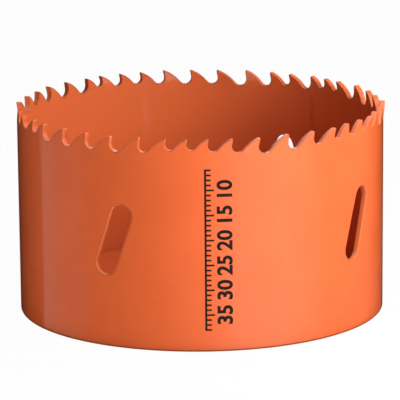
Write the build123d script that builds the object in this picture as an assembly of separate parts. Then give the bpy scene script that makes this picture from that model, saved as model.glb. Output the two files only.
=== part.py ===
from build123d import *
import itertools
import math
import os

# ---------------------------------------------------------------------------
# Hole saw: a rolled, toothed steel band welded round a thick back plate.
# Millimetres and degrees.  Z is the saw's axis, z = 0 is the back face and the
# teeth point up.  Angles round the axis run from the front (-Y) towards +X.
# ---------------------------------------------------------------------------

# Band
CUT_DIAMETER = 76.0  # across the outward-set teeth: the hole that the saw makes
OVERALL_HEIGHT = 42.5  # back face to tooth tips
WALL = 1.15
BASE_EDGE_RADIUS = 0.35

# Tooth set: how far the tip of each tooth in turn leans off the wall, outwards positive
SET_OUT = 0.40
SET_IN = 0.25
SET_ORDER = (-SET_IN, 0.0, SET_OUT)

# Tooth spacing along the outside of the band: five pitches and the order that they take
PITCHES = {"a": 6.4, "b": 5.9, "c": 5.4, "d": 4.8, "e": 4.2}
PITCH_ORDER = "abbceedcabcddedbbbcabeecdbabbcddebbbcacdddda"
FIRST_TIP_ANGLE = -46.3

# Tooth form: lengths are shares of the pitch, angles are from the axis or from the rim's plane
HOOK_ANGLE = 10.0
RELIEF_ANGLE = 21.5
BACK_ANGLE = 47.0
GULLET_DEPTH = 0.505
GULLET_RADIUS = 0.23
HEEL_ROUND = 0.85  # share of the relief that the heel's round runs into
TIP_LAND = 0.25  # millimetres of flat behind each cutting edge

# Slug-removal slots
SLOT_ANGLES = (-27.3, 56.2, 147.6, 240.0)
SLOT_LENGTH = 15.0
SLOT_WIDTH = 4.5
SLOT_LEAN = 19.5
SLOT_CENTRE_HEIGHT = 21.8

# Back plate
PLATE_THICKNESS = 4.0
PLATE_FIT = 0.05  # radial play of the plate in the band before welding
WELD_GROOVE = 0.35

# Arbor hole: a 5/8-18 UNF thread, bored here to its minor diameter
THREAD_MAJOR_DIAMETER = 15.875
THREAD_MINOR_DIAMETER = 14.5

# Drive-pin holes
PIN_HOLE_COUNT = 4
PIN_CIRCLE_DIAMETER = 25.0
PIN_HOLE_DIAMETER = 6.6
PIN_HOLE_CHAMFER = 0.3

# How far a cutting shape runs past the metal that it cuts
OVERRUN = 1.0

# What follows from the sizes above
BAND_RADIUS = CUT_DIAMETER / 2 - SET_OUT
BORE_RADIUS = BAND_RADIUS - WALL


def facing_out(angle, height, sketch):
    """Stand a sketch up on the axis, facing outwards: its x runs round the band and its y up."""
    return Rot(0, 0, angle) * Pos(0, 0, height) * (Plane.XZ * sketch)


def angle_along(length):
    """Angle that a length round the outside of the band covers."""
    return math.degrees(length / BAND_RADIUS)


def tooth_pitches():
    """Pitches in order round the rim, repeated until the ring is full and then stretched to close it."""
    girth = 2 * math.pi * BAND_RADIUS
    pitches = []
    for name in itertools.cycle(PITCH_ORDER):
        if sum(pitches) + PITCHES[name] / 2 > girth:
            break
        pitches.append(PITCHES[name])
    stretch = girth / sum(pitches)
    return [pitch * stretch for pitch in pitches]


def gullet_centre_x(pitch):
    """Distance from a tooth's tip to the lowest point of the gullet in front of it."""
    hook = math.radians(HOOK_ANGLE)
    drop = (GULLET_DEPTH - GULLET_RADIUS) * pitch
    return (GULLET_RADIUS * pitch - drop * math.sin(hook)) / math.cos(hook)


def gullet_outline(pitch):
    """Space between one tip, at the origin, and the next, one pitch along x."""
    hook_slope = math.tan(math.radians(HOOK_ANGLE))
    back_slope = math.tan(math.radians(BACK_ANGLE))
    relief_slope = math.tan(math.radians(RELIEF_ANGLE))

    # The next tooth's back leaves the gullet's round here and rises in a straight line
    radius = GULLET_RADIUS * pitch
    back_x = gullet_centre_x(pitch) + radius * math.sin(math.radians(BACK_ANGLE))
    back_y = radius - GULLET_DEPTH * pitch - radius * math.cos(math.radians(BACK_ANGLE))
    back_at_tip = back_y - back_slope * back_x

    # Corners that the rounds of the gullet and of the heel are rolled into
    root_y = back_at_tip / (1 - back_slope * hook_slope)
    root = (hook_slope * root_y, root_y)
    land_start = pitch - TIP_LAND
    heel_x = -(back_at_tip + relief_slope * land_start) / (back_slope - relief_slope)
    heel = (heel_x, relief_slope * (heel_x - land_start))
    heel_reach = HEEL_ROUND * math.dist(heel, (land_start, 0))
    heel_radius = heel_reach / math.tan(math.radians(BACK_ANGLE - RELIEF_ANGLE) / 2)

    return make_face(
        FilletPolyline(
            (hook_slope * OVERRUN, OVERRUN),
            root,
            heel,
            (land_start, 0),
            (land_start, OVERRUN),
            radius=(0, radius, heel_radius, 0, 0),
            close=True,
        )
    )


def gullet_cutter(tip_angle, pitch):
    """Radial cutter for the space in front of the tooth whose tip is at this angle."""
    outline = Pos(-pitch / 2, 0) * gullet_outline(pitch)
    inner = BORE_RADIUS - SET_IN - OVERRUN
    outer = BAND_RADIUS + SET_OUT + OVERRUN
    outline = facing_out(tip_angle + angle_along(pitch) / 2, OVERALL_HEIGHT, outline)
    return extrude(outline, amount=outer) - extrude(outline, amount=inner)


def tooth_blank(start, end, lean, bend_height, root_height):
    """Sector of the band that one tooth is cut from, bent over from bend_height upwards."""
    section = make_face(
        Polyline(
            (BORE_RADIUS, root_height),
            (BAND_RADIUS, root_height),
            (BAND_RADIUS, bend_height),
            (BAND_RADIUS + lean, OVERALL_HEIGHT),
            (BORE_RADIUS + lean, OVERALL_HEIGHT),
            (BORE_RADIUS, bend_height),
            close=True,
        )
    )
    return Rot(0, 0, start - 90) * revolve(Plane.XZ * section, Axis.Z, end - start)


def slot_cutter(angle):
    """Slanted slot whose top leans towards the cutting direction."""
    outline = SlotOverall(SLOT_LENGTH, SLOT_WIDTH, rotation=90 - SLOT_LEAN)
    return extrude(facing_out(angle, SLOT_CENTRE_HEIGHT, outline), amount=CUT_DIAMETER)


def band_below_teeth(height):
    """Plain ring with a rounded outer edge and a weld bevel at its foot."""
    section = make_face(
        FilletPolyline(
            (BORE_RADIUS, WELD_GROOVE),
            (BORE_RADIUS + WELD_GROOVE, 0),
            (BAND_RADIUS, 0),
            (BAND_RADIUS, height),
            (BORE_RADIUS, height),
            radius=(0, 0, BASE_EDGE_RADIUS, 0, 0),
            close=True,
        )
    )
    return revolve(Plane.XZ * section, Axis.Z)


def make_toothed_band():
    """The cutting wall: a ring with set, variable-pitch teeth and four slanted slots."""
    pitches = tooth_pitches()
    root_height = OVERALL_HEIGHT - GULLET_DEPTH * max(pitches) - OVERRUN
    count = len(pitches)
    tips = [FIRST_TIP_ANGLE + angle_along(sum(pitches[:i])) for i in range(count)]

    blanks = []
    for i in range(count):
        before = pitches[i - 1]
        after = pitches[i]
        start = tips[i] - angle_along(before - gullet_centre_x(before))
        end = tips[i] + angle_along(gullet_centre_x(after))
        bend_height = OVERALL_HEIGHT - GULLET_DEPTH * min(before, after)
        blanks.append(tooth_blank(start, end, SET_ORDER[i % len(SET_ORDER)], bend_height, root_height))

    band = band_below_teeth(root_height) + blanks
    band -= [gullet_cutter(tips[i], pitches[i]) for i in range(count)]
    band -= [slot_cutter(angle) for angle in SLOT_ANGLES]
    return band


def make_back_plate():
    """Disc seated in the foot of the band, with the arbor hole and the drive-pin holes."""
    plate_radius = BORE_RADIUS - PLATE_FIT
    bore_radius = THREAD_MINOR_DIAMETER / 2
    mouth_radius = THREAD_MAJOR_DIAMETER / 2
    thread_chamfer = mouth_radius - bore_radius
    section = make_face(
        Polyline(
            (mouth_radius, 0),
            (plate_radius - WELD_GROOVE, 0),
            (plate_radius, WELD_GROOVE),
            (plate_radius, PLATE_THICKNESS),
            (mouth_radius, PLATE_THICKNESS),
            (bore_radius, PLATE_THICKNESS - thread_chamfer),
            (bore_radius, thread_chamfer),
            close=True,
        )
    )
    plate = revolve(Plane.XZ * section, Axis.Z)

    seat = (Align.CENTER, Align.CENTER, Align.MIN)
    pin_radius = PIN_HOLE_DIAMETER / 2
    pin_hole = Cylinder(pin_radius, PLATE_THICKNESS, align=seat)
    pin_hole += Cone(pin_radius + PIN_HOLE_CHAMFER, pin_radius, PIN_HOLE_CHAMFER, align=seat)
    return plate - PolarLocations(PIN_CIRCLE_DIAMETER / 2, PIN_HOLE_COUNT) * pin_hole


os.makedirs("parts", exist_ok=True)
export_step(make_toothed_band(), "parts/toothed_band.step")
export_step(make_back_plate(), "parts/back_plate.step")
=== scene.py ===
"""Hole saw standing teeth up in a small white studio.

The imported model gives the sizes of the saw.  Each sub-assembly is a class that builds its own mesh and
dresses it: the toothed band, the back plate with its arbor thread, the weld between the two and the
printed depth scale.  Lengths are metres and angles radians, unless a name says degrees.  Angles round the
axis run from the front of the saw (-Y) towards +X.
"""

import itertools
import logging
import math
from dataclasses import dataclass, field
from enum import Enum
from typing import Any, ClassVar, Sequence

import bpy
import numpy as np
from bpy.types import Material, Mesh, Node, NodeSocket, NodeTree, Object, World
from mathutils import Matrix, Vector
from mathutils.geometry import delaunay_2d_cdt


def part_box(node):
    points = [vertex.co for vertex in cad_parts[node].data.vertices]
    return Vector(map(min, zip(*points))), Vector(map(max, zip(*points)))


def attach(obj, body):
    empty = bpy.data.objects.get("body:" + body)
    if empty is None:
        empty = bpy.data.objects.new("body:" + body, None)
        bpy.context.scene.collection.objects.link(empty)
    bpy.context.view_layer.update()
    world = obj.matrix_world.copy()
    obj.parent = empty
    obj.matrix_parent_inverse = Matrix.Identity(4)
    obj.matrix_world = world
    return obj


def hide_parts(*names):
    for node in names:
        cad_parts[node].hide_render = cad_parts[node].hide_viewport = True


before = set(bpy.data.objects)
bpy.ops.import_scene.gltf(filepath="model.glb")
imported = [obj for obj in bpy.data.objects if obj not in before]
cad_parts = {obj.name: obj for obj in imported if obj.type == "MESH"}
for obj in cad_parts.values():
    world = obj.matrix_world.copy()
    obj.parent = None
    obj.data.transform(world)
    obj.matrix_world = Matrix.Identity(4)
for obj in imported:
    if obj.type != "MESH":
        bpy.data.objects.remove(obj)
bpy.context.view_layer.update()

MM = 0.001
BODY = "root"
ENAMEL_SLOT = "orange_paint"
BAND_NODE = "toothed_band"
PLATE_NODE = "back_plate"

CLOUD_RANGE = (0.3, 0.7)  # where most of a noise texture's values lie
CLOUD_ROUGHNESS = 0.6
WHOLE_HULL, MERGE_WITHIN = 0, 1e-6  # what the triangulation gives, and how near its points merge, in mm
SIDE_PULL, TINY = 1e-4, 1e-20  # a cut edge's share in the skin's normals, and a length that isn't zero
WHITE = (1.0, 1.0, 1.0)

Point = tuple[float, float]
Colour = tuple[float, float, float]
Inputs = dict[Any, Any]
log = logging.getLogger("hole_saw")


# ---- Node trees --------------------------------------------------


@dataclass(frozen=True)
class Value:
    """An output in a node tree. A formula that is written with it becomes Math nodes."""

    builder: "TreeBuilder"
    socket: NodeSocket

    def __add__(self, other: Any) -> "Value":
        """Add."""
        return self.builder.math("ADD", self, other)

    def __sub__(self, other: Any) -> "Value":
        """Subtract."""
        return self.builder.math("SUBTRACT", self, other)

    def __rsub__(self, other: Any) -> "Value":
        """Subtract from a number."""
        return self.builder.math("SUBTRACT", other, self)

    def __mul__(self, other: Any) -> "Value":
        """Multiply."""
        return self.builder.math("MULTIPLY", self, other)

    def __truediv__(self, other: Any) -> "Value":
        """Divide."""
        return self.builder.math("DIVIDE", self, other)

    def __abs__(self) -> "Value":
        """Size without sign."""
        return self.builder.math("ABSOLUTE", self)

    def at_least(self, other: Any) -> "Value":
        """The larger of two values."""
        return self.builder.math("MAXIMUM", self, other)

    def at_most(self, other: Any) -> "Value":
        """The smaller of two values."""
        return self.builder.math("MINIMUM", self, other)


class TreeBuilder:
    """Adds nodes to a shader or geometry tree and joins their sockets."""

    def __init__(self, tree: NodeTree) -> None:
        """Keep the tree that the nodes go into."""
        self.tree = tree

    def fill(self, node: Node, inputs: Inputs) -> None:
        """Link a node's inputs or write their values.

        Args:
            node: The node.
            inputs: Values or plain numbers, colours and names, by input name or place.
        """
        for key, value in inputs.items():
            socket = node.inputs[key]
            if isinstance(value, Value):
                self.tree.links.new(value.socket, socket)
            else:
                socket.default_value = (*value, 1.0) if socket.type == "RGBA" else value

    def add(self, kind: str, inputs: Inputs | None = None, **settings: Any) -> Node:
        """Add a node, set its properties and fill its inputs.

        Args:
            kind: The node's type.
            inputs: Its inputs, as fill takes them.
            settings: The node's own properties.

        Returns:
            The new node.
        """
        node = self.tree.nodes.new(kind)
        for name, value in settings.items():
            setattr(node, name, value)
        self.fill(node, inputs or {})
        return node

    def value(self, kind: str, inputs: Inputs | None = None, output: Any = 0, **settings: Any) -> Value:
        """Add a node and give one of its outputs, by name or place."""
        return Value(self, self.add(kind, inputs, **settings).outputs[output])

    def use(self, group: NodeTree, inputs: dict[str, Any]) -> dict[str, Value]:
        """Add a node group and give its outputs by name."""
        node = self.add(self.tree.bl_idname.replace("Tree", "Group"), inputs, node_tree=group)
        return {socket.name: Value(self, socket) for socket in node.outputs}

    def math(self, operation: str, *values: Any, clamp: bool = False) -> Value:
        """Add a Math node, whose result is held between 0 and 1 if it is clamped."""
        return self.value("ShaderNodeMath", dict(enumerate(values)), operation=operation, use_clamp=clamp)

    def ramp(self, value: Any, low: Any, high: Any, to_low: Any = 0.0, to_high: Any = 1.0) -> Value:
        """Map a value smoothly from one range to another, held at both ends."""
        inputs = dict(enumerate((value, low, high, to_low, to_high)))
        return self.value("ShaderNodeMapRange", inputs, interpolation_type="SMOOTHSTEP")

    def mix(self, share: Any, first: Any, second: Any) -> Value:
        """Blend two numbers; share is how much of the second shows."""
        return self.value("ShaderNodeMix", {0: share, 2: first, 3: second})

    def mix_colour(self, share: Any, first: Any, second: Any) -> Value:
        """Blend two colours; share is how much of the second shows."""
        return self.value("ShaderNodeMix", {0: share, 6: first, 7: second}, output=2, data_type="RGBA")

    def split(self, vector: Value) -> tuple[Value, ...]:
        """The x, y and z of a vector."""
        return tuple(Value(self, part) for part in self.add("ShaderNodeSeparateXYZ", {0: vector}).outputs)

    def vector(self, x: Any, y: Any, z: Any) -> Value:
        """A vector from its x, y and z."""
        return self.value("ShaderNodeCombineXYZ", {0: x, 1: y, 2: z})

    def axis_distance(self, x: Value, y: Value) -> Value:
        """Distance from the saw's axis."""
        return self.math("SQRT", x * x + y * y)

    def wave(self, angle: Value) -> Value:
        """Sine of an angle, brought between 0 and 1."""
        return self.math("SINE", angle) * 0.5 + 0.5

    def surface_place(self) -> Value:
        """Object coordinates, for a shader."""
        return self.value("ShaderNodeTexCoord", output="Object")

    def noise(self, scale: Any, detail: float, roughness: float = 0.5) -> Value:
        """Noise on Object coordinates, for a shader."""
        inputs = {"Vector": self.surface_place(), "Scale": scale, "Detail": detail, "Roughness": roughness}
        return self.value("ShaderNodeTexNoise", inputs)

    def bump(self, height: Value, depth: float, below: dict[str, Value] | None = None) -> Value:
        """Normal that a height gives a surface, over another one that is given as its Normal input."""
        return self.value("ShaderNodeBump", {"Height": height, "Distance": depth, **(below or {})})

    def mesh_place(self) -> tuple[Value, ...]:
        """The x, y and z of each point, for a geometry tree."""
        return self.split(self.value("GeometryNodeInputPosition"))

    def moved(self, geometry: Value, place: Value) -> Value:
        """Put a geometry's points in new places."""
        return self.value("GeometryNodeSetPosition", {"Geometry": geometry, "Position": place})

    def gathered(self, *parts: Value) -> Value:
        """Join geometries into one."""
        node = self.add("GeometryNodeJoinGeometry")
        for part in parts:
            self.fill(node, {0: part})
        return Value(self, node.outputs[0])


class SocketKind(Enum):
    """Socket types that the node groups here take and give."""

    FLOAT = "NodeSocketFloat"
    INTEGER = "NodeSocketInt"
    COLOUR = "NodeSocketColor"
    GEOMETRY = "NodeSocketGeometry"
    MATERIAL = "NodeSocketMaterial"

    @classmethod
    def of(cls, value: Any) -> "SocketKind":
        """Kind of socket that takes a plain value."""
        kinds = {float: cls.FLOAT, int: cls.INTEGER}
        return cls.MATERIAL if isinstance(value, Material) else kinds[type(value)]


Sockets = dict[str, SocketKind]


class Group(TreeBuilder):
    """A node group with named inputs and outputs."""

    def __init__(self, name: str, kind: str, inputs: Sockets, outputs: Sockets) -> None:
        """Make the group, empty but for its own inputs and outputs.

        Args:
            name: The group's name.
            kind: ShaderNodeTree or GeometryNodeTree.
            inputs: Input names and kinds, in order.
            outputs: Output names and kinds, in order.
        """
        super().__init__(bpy.data.node_groups.new(name, kind))
        for way, sockets in (("INPUT", inputs), ("OUTPUT", outputs)):
            for socket_name, socket_kind in sockets.items():
                self.tree.interface.new_socket(socket_name, in_out=way, socket_type=socket_kind.value)
        source = self.add("NodeGroupInput")
        self.inputs = [Value(self, source.outputs[socket_name]) for socket_name in inputs]
        self.target = self.add("NodeGroupOutput")


class GeometryGroup(Group):
    """A geometry tree that takes a Geometry and a set of named values, and gives a Geometry."""

    def __init__(self, name: str, values: dict[str, Any]) -> None:
        """Make the tree with a Geometry input, and after it one input for each value.

        Args:
            name: The tree's name.
            values: The inputs' names and the values that they are made for.
        """
        kinds = {key: SocketKind.of(value) for key, value in values.items()}
        geometry = {"Geometry": SocketKind.GEOMETRY}
        super().__init__(name, "GeometryNodeTree", geometry | kinds, geometry)

    def finish(self, geometry: Value, material: Value, weld: float = 0.0) -> NodeTree:
        """Realise the tree's instances, weld its seams and give it its material.

        Args:
            geometry: What the tree has made.
            material: The material input.
            weld: Distance within which points are merged, or 0 to leave them.

        Returns:
            The finished tree.
        """
        whole = self.value("GeometryNodeRealizeInstances", {"Geometry": geometry})
        if weld:
            whole = self.value("GeometryNodeMergeByDistance", {"Geometry": whole, "Distance": weld})
        dressed = self.value("GeometryNodeSetMaterial", {"Geometry": whole, "Material": material})
        self.fill(self.target, {"Geometry": dressed})
        return self.tree


def named(owner: Any, *names: str) -> dict[str, Any]:
    """Fields of a piece or finish, under the names that a tree's inputs have."""
    return {name.replace("_", " ").title(): getattr(owner, name) for name in names}


def shader_group(name: str, floats: Sequence[str], output: str, colours: Sequence[str] = ()) -> Group:
    """Start a shader group.

    Args:
        name: The group's name.
        floats: Names of the inputs that are numbers.
        output: Name of its output, a number.
        colours: Names of the inputs that are colours, which come first.

    Returns:
        The group.
    """
    inputs = dict.fromkeys(colours, SocketKind.COLOUR) | dict.fromkeys(floats, SocketKind.FLOAT)
    outputs = {output: SocketKind.FLOAT} | ({"Colour": SocketKind.COLOUR} if colours else {})
    return Group(name, "ShaderNodeTree", inputs, outputs)


# ---- Shared surface effects --------------------------------------


def orange_peel_group() -> NodeTree:
    """Height of the slow waves and fine stipple that sprayed enamel dries with.

    Returns:
        The node group, with a Height output from about 0 to 1.
    """
    group = shader_group("Orange Peel", ("Wave Scale", "Stipple Scale", "Stipple Share"), "Height")
    wave_scale, stipple_scale, stipple_share = group.inputs
    height = group.noise(wave_scale, 1.0) + group.noise(stipple_scale, 2.0) * stipple_share
    group.fill(group.target, {"Height": height})
    return group.tree


def paint_film_group() -> NodeTree:
    """Colour and roughness of a sprayed coat that is mottled a little and paler on its rounded edges, partly
    thinner paint and partly a painted highlight.

    Returns:
        The node group, with Colour and Roughness outputs.
    """
    group = shader_group(
        "Paint Film",
        ("Edge", "Edge Share", "Breakup Scale", "Mottle Scale", "Mottle Share", "Smooth", "Rough"),
        "Roughness",
        colours=("Body", "Thin", "Deep"),
    )
    body, thin, deep, edge, edge_share, breakup_scale, *values = group.inputs
    mottle_scale, mottle_share, smooth, rough = values
    least_edge_light = 0.55
    smoothest, roughest = 0.25, 1.1
    mottle = group.noise(mottle_scale, 4.0, CLOUD_ROUGHNESS)
    patches = group.ramp(mottle, *CLOUD_RANGE) * mottle_share
    uneven = group.ramp(group.noise(breakup_scale, 3.0, CLOUD_ROUGHNESS), *CLOUD_RANGE, least_edge_light, 1.0)
    # Paler colour on the rounded edges: thinner paint there and a painted highlight, broken up a little.
    worn = edge * uneven * edge_share
    colour = group.mix_colour(worn, group.mix_colour(patches, body, deep), thin)
    roughness = group.ramp(mottle + worn, smoothest, roughest, smooth, rough)
    group.fill(group.target, {"Colour": colour, "Roughness": roughness})
    return group.tree


def turning_marks_group() -> NodeTree:
    """Height of the fine rings that a lathe leaves on a faced disc, centred on the saw's axis.

    Returns:
        The node group, with a Height output from about 0 to 1.
    """
    group = shader_group("Turning Marks", ("Turning Pitch",), "Height")
    chatters_per_ring = 0.35
    x, y, _ = group.split(group.surface_place())
    ring = group.axis_distance(x, y) / group.inputs[0]
    inputs = {"Scale": chatters_per_ring, "W": ring, "Detail": 1.0}
    chatter = group.value("ShaderNodeTexNoise", inputs, noise_dimensions="1D")
    group.fill(group.target, {"Height": group.wave(ring * math.tau) * chatter})
    return group.tree


def dry_spray_group() -> NodeTree:
    """Share of the darker, less red colour that is painted inside the cup as shade, above a floor height and
    a little uneven.

    Returns:
        The node group, with a Share output from 0 to 1.
    """
    group = shader_group("Dry Spray", ("Dust Radius", "Dust Floor", "Dust Fade", "Dust Scale"), "Share")
    radius, floor, fade, cloud_scale = group.inputs
    weakest_shade = 0.85
    x, y, z = group.split(group.surface_place())
    within = group.math("ADD", (radius - group.axis_distance(x, y)) / fade, 0.5, clamp=True)
    above = group.math("ADD", (z - floor) / fade, 0.5, clamp=True)
    cloud = group.ramp(group.noise(cloud_scale, 3.0, CLOUD_ROUGHNESS), *CLOUD_RANGE, weakest_shade, 1.0)
    group.fill(group.target, {"Share": within * above * cloud})
    return group.tree


@dataclass
class Effects:
    """The shader groups that the finishes share, each built once, and how coarse the orange peel is."""

    orange_peel: NodeTree = field(default_factory=orange_peel_group)
    paint_film: NodeTree = field(default_factory=paint_film_group)
    turning_marks: NodeTree = field(default_factory=turning_marks_group)
    dry_spray: NodeTree = field(default_factory=dry_spray_group)
    wave_scale: float = 420.0
    stipple_scale: float = 2600.0
    stipple_share: float = 0.22

    def peel_normal(self, builder: TreeBuilder, depth: float) -> Value:
        """Normal of a sprayed surface whose orange peel has a given depth."""
        inputs = named(self, "wave_scale", "stipple_scale", "stipple_share")
        return builder.bump(builder.use(self.orange_peel, inputs)["Height"], depth)


# ---- Finishes ----------------------------------------------------


@dataclass(frozen=True)
class Enamel:
    """Sprayed semi-gloss enamel on steel."""

    name: str = "orange_enamel"
    body: Colour = (0.76, 0.128, 0.031)
    # Paler colour of the rounded edges: thinner paint and a painted highlight.
    thin: Colour = (0.84, 0.22, 0.08)
    deep: Colour = (0.69, 0.108, 0.024)
    # Darker, less red colour inside the cup: painted shade.
    dusty: Colour = (0.63, 0.135, 0.042)
    edge_share: float = 0.55
    breakup_scale: float = 1400.0
    mottle_scale: float = 120.0
    mottle_share: float = 0.5
    # Where the painted shade inside the cup lies: within a radius, above a floor height, with soft edges and
    # a little unevenness.
    dust_radius: float = 37.08 * MM
    dust_floor: float = 2.0 * MM
    dust_fade: float = 0.3 * MM
    dust_scale: float = 700.0
    smooth: float = 0.30
    rough: float = 0.46
    sheen_level: float = 0.20
    coat: float = 1.0
    coat_roughness: float = 0.07
    peel_depth: float = 0.012 * MM
    turned: bool = False
    turning_pitch: float = 0.45 * MM
    turning_depth: float = 0.010 * MM

    def material(self, effects: Effects) -> Material:
        """Build the enamel's material.

        Args:
            effects: The shared shader groups.

        Returns:
            The material.
        """
        material, builder, shader = plain_material(self.name)
        coat = named(self, "body", "thin", "deep", "edge_share", "breakup_scale", "smooth", "rough")
        coat |= named(self, "mottle_scale", "mottle_share")
        coat["Edge"] = builder.value("ShaderNodeAttribute", output="Fac", attribute_name="edge")
        film = builder.use(effects.paint_film, coat)
        # Painted shade: inside the cup the colour turns darker and less red.
        shade_inputs = named(self, "dust_radius", "dust_floor", "dust_fade", "dust_scale")
        inner_shade_share = builder.use(effects.dry_spray, shade_inputs)
        normal = effects.peel_normal(builder, self.peel_depth)
        if self.turned:
            marks = builder.use(effects.turning_marks, named(self, "turning_pitch"))
            normal = builder.bump(marks["Height"], self.turning_depth, {"Normal": normal})
        builder.fill(
            shader,
            {
                "Base Color": builder.mix_colour(inner_shade_share["Share"], film["Colour"], self.dusty),
                "Roughness": film["Roughness"],
                "Specular IOR Level": self.sheen_level,
                "Coat Weight": self.coat,
                "Coat Roughness": self.coat_roughness,
                "Normal": normal,
            },
        )
        return material


@dataclass(frozen=True)
class PrintInk:
    """Pad-printed black ink with a dry, slightly broken surface."""

    name: str = "black_print"
    colour: Colour = (0.010, 0.008, 0.007)
    worn: Colour = (0.024, 0.017, 0.013)
    speckle_scale: float = 2400.0
    speckle_range: Point = (0.45, 0.70)
    roughness: float = 0.55
    roughness_spread: float = 0.12
    specular: float = 0.15
    peel_depth: float = 0.010 * MM

    def material(self, effects: Effects) -> Material:
        """Build the ink's material.

        Args:
            effects: The shared shader groups.

        Returns:
            The material.
        """
        material, builder, shader = plain_material(self.name)
        speckle = builder.noise(self.speckle_scale, 3.0)
        share = builder.ramp(speckle, *self.speckle_range)
        roughest = self.roughness + self.roughness_spread
        builder.fill(
            shader,
            {
                "Base Color": builder.mix_colour(share, self.colour, self.worn),
                "Roughness": builder.ramp(speckle, *CLOUD_RANGE, self.roughness, roughest),
                "Specular IOR Level": self.specular,
                "Normal": effects.peel_normal(builder, self.peel_depth),
            },
        )
        return material


def empty_tree(owner: Material | World) -> TreeBuilder:
    """Turn on the nodes of a material or world and clear them.

    Args:
        owner: The material or world.

    Returns:
        A builder for its tree.
    """
    owner.use_nodes = True
    owner.node_tree.nodes.clear()
    return TreeBuilder(owner.node_tree)


def plain_material(name: str) -> tuple[Material, TreeBuilder, Node]:
    """Start a material from its output and a Principled shader.

    Args:
        name: The material's name.

    Returns:
        The material, a builder for its tree and the shader node.
    """
    material = bpy.data.materials.new(name)
    builder = empty_tree(material)
    shader = builder.add("ShaderNodeBsdfPrincipled")
    builder.add("ShaderNodeOutputMaterial", {"Surface": Value(builder, shader.outputs[0])})
    return material, builder, shader


# ---- Outlines ----------------------------------------------------


def unit(vector: np.ndarray) -> np.ndarray:
    """Scale vectors, one per row, to length one."""
    return vector / np.linalg.norm(vector, axis=-1, keepdims=True)


def fillet(before: Point, corner: Point, after: Point, radius: float, steps: int) -> list[Point]:
    """Points of the arc that rounds one corner of an outline.

    Args:
        before: The point before the corner.
        corner: The corner.
        after: The point after it.
        radius: Radius of the arc, or 0 to keep the corner.
        steps: Straight pieces that the arc is cut into.

    Returns:
        The arc's points, in order.
    """
    if radius == 0.0:
        return [corner]
    middle = np.array(corner)
    back = unit(np.array(before) - middle)
    forward = unit(np.array(after) - middle)
    half_angle = math.acos(float(back @ forward)) / 2
    centre = middle + unit(back + forward) * radius / math.sin(half_angle)
    spoke = middle + back * radius / math.tan(half_angle) - centre
    turn = math.pi - 2 * half_angle
    if back[0] * forward[1] - back[1] * forward[0] > 0:
        turn = -turn
    angles = np.linspace(0.0, turn, steps + 1)
    return [
        (
            float(centre[0] + spoke[0] * math.cos(a) - spoke[1] * math.sin(a)),
            float(centre[1] + spoke[0] * math.sin(a) + spoke[1] * math.cos(a)),
        )
        for a in angles
    ]


def circle(centre: Point, radius: float, count: int, clockwise: bool = False) -> np.ndarray:
    """Points round a circle.

    Args:
        centre: The circle's centre.
        radius: Its radius.
        count: How many points.
        clockwise: The way round.

    Returns:
        The points, one per row.
    """
    angles = np.linspace(0.0, math.tau, count, endpoint=False)
    if clockwise:
        angles = -angles
    return np.stack([centre[0] + radius * np.cos(angles), centre[1] + radius * np.sin(angles)], axis=1)


def rounding(radius: float, steps: int = 3) -> list[Point]:
    """Quarter round from a face into a cut edge, as insets from the edge and depths below the face."""
    angles = [math.pi / 2 * k / steps for k in range(steps + 1)]
    return [(radius * (1 - math.sin(a)), radius * (1 - math.cos(a))) for a in angles]


def bevel(size: float) -> list[Point]:
    """Flat break of a cut edge, as insets and depths."""
    return [(size, 0.0), (0.0, size)]


def through_edge(thickness: float, first: list[Point], second: list[Point]) -> list[Point]:
    """Profile of a cut edge through a sheet, from its breaks, each given from its face inwards."""
    return first + [(inset, thickness - depth) for inset, depth in reversed(second)]


@dataclass
class Rim:
    """An edge of a sheet, with the metal on the right of its direction of travel.

    Args:
        points: The edge's outline in the sheet's plane, one point per row.
        profile: (inset, depth) pairs that carry the edge from the first face to the second.
        wrap: Step from the first point to where the last one leads: zero for a closed loop.
    """

    points: np.ndarray
    profile: list[Point]
    wrap: Point = (0.0, 0.0)

    @property
    def is_loop(self) -> bool:
        """Whether the rim closes on itself within the sheet."""
        return self.wrap == (0.0, 0.0)

    def columns(self, inset: float) -> np.ndarray:
        """The outline moved into the metal, with the wrapped end point where the rim is no loop.

        Args:
            inset: How far it moves.

        Returns:
            The moved points, one per row.
        """
        wrap = np.array(self.wrap)
        following = np.roll(self.points, -1, axis=0)
        following[-1] += wrap
        previous = np.roll(self.points, 1, axis=0)
        previous[0] -= wrap
        arriving = unit(self.points - previous)
        leaving = unit(following - self.points)
        right = np.stack([arriving[:, 1] + leaving[:, 1], -arriving[:, 0] - leaving[:, 0]], axis=1)
        mitre = right / (1 + np.sum(arriving * leaving, axis=1, keepdims=True))
        moved = self.points + inset * mitre
        return moved if self.is_loop else np.vstack([moved, moved[0] + wrap])


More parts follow.
